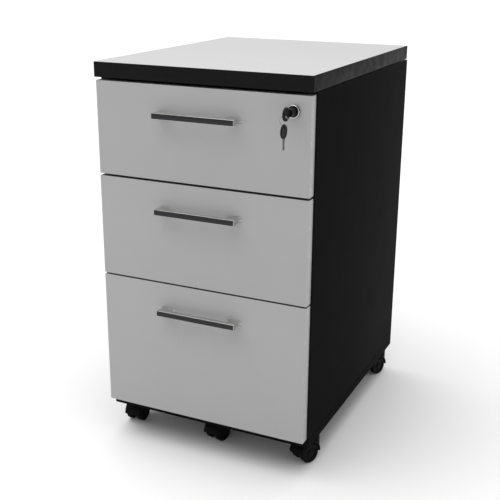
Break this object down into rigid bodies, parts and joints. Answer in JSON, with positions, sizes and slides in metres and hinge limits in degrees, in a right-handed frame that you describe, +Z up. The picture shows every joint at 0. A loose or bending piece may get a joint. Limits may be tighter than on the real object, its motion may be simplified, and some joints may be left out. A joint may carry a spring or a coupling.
{
  "type": "rolling pedestal cabinet",
  "caption": "Under-desk pedestal on castors: black board carcass, light grey top and drawer fronts, bar handles, and a keyed lock that bars the drawers.",
  "frame": {"origin": "on the floor, under the middle of the whole object's box", "axes": "+Z up, -Y out of the drawer fronts, +X to the right as seen from the front"},
  "size_m": [0.39, 0.5506, 0.69],
  "materials": {
    "top_laminate": "light grey melamine, fine matt texture",
    "front_laminate": "light grey melamine, fine matt texture",
    "black_board": "black melamine, fine pearl texture",
    "black_edging": "black edging, satin",
    "drawer_board": "grey melamine, matt",
    "drawer_panel": "pale grey hardboard, smooth",
    "dowel_beech": "bare beech",
    "zinc_steel": "bright zinc",
    "slide_steel": "zinc-plated rolled steel",
    "castor_steel": "black lacquer",
    "handle_nickel": "satin nickel on a zinc casting",
    "handle_inlay": "dark grey strip, satin gloss",
    "lock_chrome": "polished chrome",
    "lock_core_black": "gloss black",
    "key_plastic": "black key cover, satin",
    "key_steel": "nickel-plated key blade, milled",
    "ring_wire": "bright steel wire",
    "castor_nylon": "black moulded nylon, fine texture",
    "wheel_nylon": "black nylon, worn at the tread"
  },
  "bodies": {
    "cabinet": {"top_board": "top_laminate", "top_edge_band": "black_edging", "side_panel_left": "black_board", "side_panel_right": "black_board", "back_panel": "black_board", "bottom_panel": "black_board", "front_rail": "black_board", "rear_rail": "black_board", "carcass_dowels": "dowel_beech", "top_fixing_screws": "zinc_steel", "slide_cabinet_members": "slide_steel", "lock_bar_guides": "zinc_steel", "castor_plates": "castor_steel", "castor_screws": "zinc_steel"},
    "top_drawer": {"front_top": "front_laminate", "handle_top": "handle_nickel", "handle_inlay_top": "handle_inlay", "drawer_box_top": "drawer_board", "drawer_bottom_top": "drawer_panel", "slide_drawer_top": "slide_steel", "drawer_fittings_top": "zinc_steel", "lock_housing": "lock_chrome"},
    "top_slide": {"slide_middle_top": "slide_steel"},
    "middle_drawer": {"front_middle": "front_laminate", "handle_middle": "handle_nickel", "handle_inlay_middle": "handle_inlay", "drawer_box_middle": "drawer_board", "drawer_bottom_middle": "drawer_panel", "slide_drawer_middle": "slide_steel", "drawer_fittings_middle": "zinc_steel"},
    "middle_slide": {"slide_middle_middle": "slide_steel"},
    "bottom_drawer": {"front_bottom": "front_laminate", "handle_bottom": "handle_nickel", "handle_inlay_bottom": "handle_inlay", "drawer_box_bottom": "drawer_board", "drawer_bottom_bottom": "drawer_panel", "slide_drawer_bottom": "slide_steel", "drawer_fittings_bottom": "zinc_steel"},
    "bottom_slide": {"slide_middle_bottom": "slide_steel"},
    "lock_core": {"lock_plug": "lock_core_black", "lock_cam": "zinc_steel"},
    "lock_rod": {"lock_bar": "zinc_steel"},
    "key_body": {"key": "key_plastic"},
    "ring_body": {"key_ring": "ring_wire"},
    "spare_body": {"spare_key": "key_plastic"},
    "castor_front_left": {"castor_frame_front_left": "castor_nylon"},
    "wheel_left_front_left": {"castor_wheel_left_front_left": "wheel_nylon"},
    "wheel_right_front_left": {"castor_wheel_right_front_left": "wheel_nylon"},
    "castor_front_middle": {"castor_frame_front_middle": "castor_nylon"},
    "wheel_left_front_middle": {"castor_wheel_left_front_middle": "wheel_nylon"},
    "wheel_right_front_middle": {"castor_wheel_right_front_middle": "wheel_nylon"},
    "castor_front_right": {"castor_frame_front_right": "castor_nylon"},
    "wheel_left_front_right": {"castor_wheel_left_front_right": "wheel_nylon"},
    "wheel_right_front_right": {"castor_wheel_right_front_right": "wheel_nylon"},
    "castor_rear_left": {"castor_frame_rear_left": "castor_nylon"},
    "wheel_left_rear_left": {"castor_wheel_left_rear_left": "wheel_nylon"},
    "wheel_right_rear_left": {"castor_wheel_right_rear_left": "wheel_nylon"},
    "castor_rear_right": {"castor_frame_rear_right": "castor_nylon"},
    "wheel_left_rear_right": {"castor_wheel_left_rear_right": "wheel_nylon"},
    "wheel_right_rear_right": {"castor_wheel_right_rear_right": "wheel_nylon"}
  },
  "joints": [
    {"name": "top_drawer_slide", "type": "slide", "parent": "cabinet", "child": "top_drawer", "axis": [0, -1, 0], "range_m": [0, 0.4]},
    {"name": "top_slide_middle", "type": "slide", "parent": "cabinet", "child": "top_slide", "axis": [0, -1, 0], "range_m": [0, 0.2]},
    {"name": "middle_drawer_slide", "type": "slide", "parent": "cabinet", "child": "middle_drawer", "axis": [0, -1, 0], "range_m": [0, 0.4]},
    {"name": "middle_slide_middle", "type": "slide", "parent": "cabinet", "child": "middle_slide", "axis": [0, -1, 0], "range_m": [0, 0.2]},
    {"name": "bottom_drawer_slide", "type": "slide", "parent": "cabinet", "child": "bottom_drawer", "axis": [0, -1, 0], "range_m": [0, 0.4]},
    {"name": "bottom_slide_middle", "type": "slide", "parent": "cabinet", "child": "bottom_slide", "axis": [0, -1, 0], "range_m": [0, 0.2]},
    {"name": "lock_turn", "type": "hinge", "parent": "top_drawer", "child": "lock_core", "pos_m": [0.1635, -0.2267, 0.6354], "axis": [0, 1, 0], "range_deg": [0, 90]},
    {"name": "lock_bar_slide", "type": "slide", "parent": "cabinet", "child": "lock_rod", "axis": [0, 0, 1], "range_m": [0, 0.0085]},
    {"name": "key_withdraw", "type": "slide", "parent": "lock_core", "child": "key_body", "axis": [0, -1, 0], "range_m": [0, 0.02]},
    {"name": "ring_swing", "type": "hinge", "parent": "key_body", "child": "ring_body", "pos_m": [0.1635, -0.2648, 0.6337], "axis": [1, 0, 0], "range_deg": [-60, 20]},
    {"name": "spare_key_swing", "type": "hinge", "parent": "ring_body", "child": "spare_body", "pos_m": [0.1635, -0.2648, 0.6197], "axis": [1, 0, 0], "range_deg": [-60, 20]},
    {"name": "castor_swivel_front_left", "type": "hinge", "parent": "cabinet", "child": "castor_front_left", "pos_m": [-0.1775, -0.1387, 0.055], "axis": [0, 0, 1], "continuous": true},
    {"name": "wheel_roll_left_front_left", "type": "hinge", "parent": "castor_front_left", "child": "wheel_left_front_left", "pos_m": [-0.1775, -0.1572, 0.018], "axis": [-1, 0, 0], "continuous": true},
    {"name": "wheel_roll_right_front_left", "type": "hinge", "parent": "castor_front_left", "child": "wheel_right_front_left", "pos_m": [-0.1775, -0.1572, 0.018], "axis": [-1, 0, 0], "continuous": true},
    {"name": "castor_swivel_front_middle", "type": "hinge", "parent": "cabinet", "child": "castor_front_middle", "pos_m": [0, -0.1387, 0.055], "axis": [0, 0, 1], "continuous": true},
    {"name": "wheel_roll_left_front_middle", "type": "hinge", "parent": "castor_front_middle", "child": "wheel_left_front_middle", "pos_m": [-0.00385, -0.1568, 0.018], "axis": [-0.9781, 0.2079, 0], "continuous": true},
    {"name": "wheel_roll_right_front_middle", "type": "hinge", "parent": "castor_front_middle", "child": "wheel_right_front_middle", "pos_m": [-0.00385, -0.1568, 0.018], "axis": [-0.9781, 0.2079, 0], "continuous": true},
    {"name": "castor_swivel_front_right", "type": "hinge", "parent": "cabinet", "child": "castor_front_right", "pos_m": [0.1775, -0.1387, 0.055], "axis": [0, 0, 1], "continuous": true},
    {"name": "wheel_roll_left_front_right", "type": "hinge", "parent": "castor_front_right", "child": "wheel_left_front_right", "pos_m": [0.1691, -0.15518, 0.018], "axis": [-0.891, 0.454, 0], "continuous": true},
    {"name": "wheel_roll_right_front_right", "type": "hinge", "parent": "castor_front_right", "child": "wheel_right_front_right", "pos_m": [0.1691, -0.15518, 0.018], "axis": [-0.891, 0.454, 0], "continuous": true},
    {"name": "castor_swivel_rear_left", "type": "hinge", "parent": "cabinet", "child": "castor_rear_left", "pos_m": [-0.1775, 0.2553, 0.055], "axis": [0, 0, 1], "continuous": true},
    {"name": "wheel_roll_left_rear_left", "type": "hinge", "parent": "castor_rear_left", "child": "wheel_left_rear_left", "pos_m": [-0.16998, 0.2384, 0.018], "axis": [-0.9135, -0.4067, 0], "continuous": true},
    {"name": "wheel_roll_right_rear_left", "type": "hinge", "parent": "castor_rear_left", "child": "wheel_right_rear_left", "pos_m": [-0.16998, 0.2384, 0.018], "axis": [-0.9135, -0.4067, 0], "continuous": true},
    {"name": "castor_swivel_rear_right", "type": "hinge", "parent": "cabinet", "child": "castor_rear_right", "pos_m": [0.1775, 0.2553, 0.055], "axis": [0, 0, 1], "continuous": true},
    {"name": "wheel_roll_left_rear_right", "type": "hinge", "parent": "castor_rear_right", "child": "wheel_left_rear_right", "pos_m": [0.16998, 0.2384, 0.018], "axis": [-0.9135, 0.4067, 0], "continuous": true},
    {"name": "wheel_roll_right_rear_right", "type": "hinge", "parent": "castor_rear_right", "child": "wheel_right_rear_right", "pos_m": [0.16998, 0.2384, 0.018], "axis": [-0.9135, 0.4067, 0], "continuous": true}
  ],
  "couplings": [
    {"joint": "top_slide_middle", "follows": "top_drawer_slide", "ratio": 0.5},
    {"joint": "middle_slide_middle", "follows": "middle_drawer_slide", "ratio": 0.5},
    {"joint": "bottom_slide_middle", "follows": "bottom_drawer_slide", "ratio": 0.5},
    {"joint": "lock_turn", "follows": "lock_bar_slide", "rad_per_m": 184.79}
  ]
}
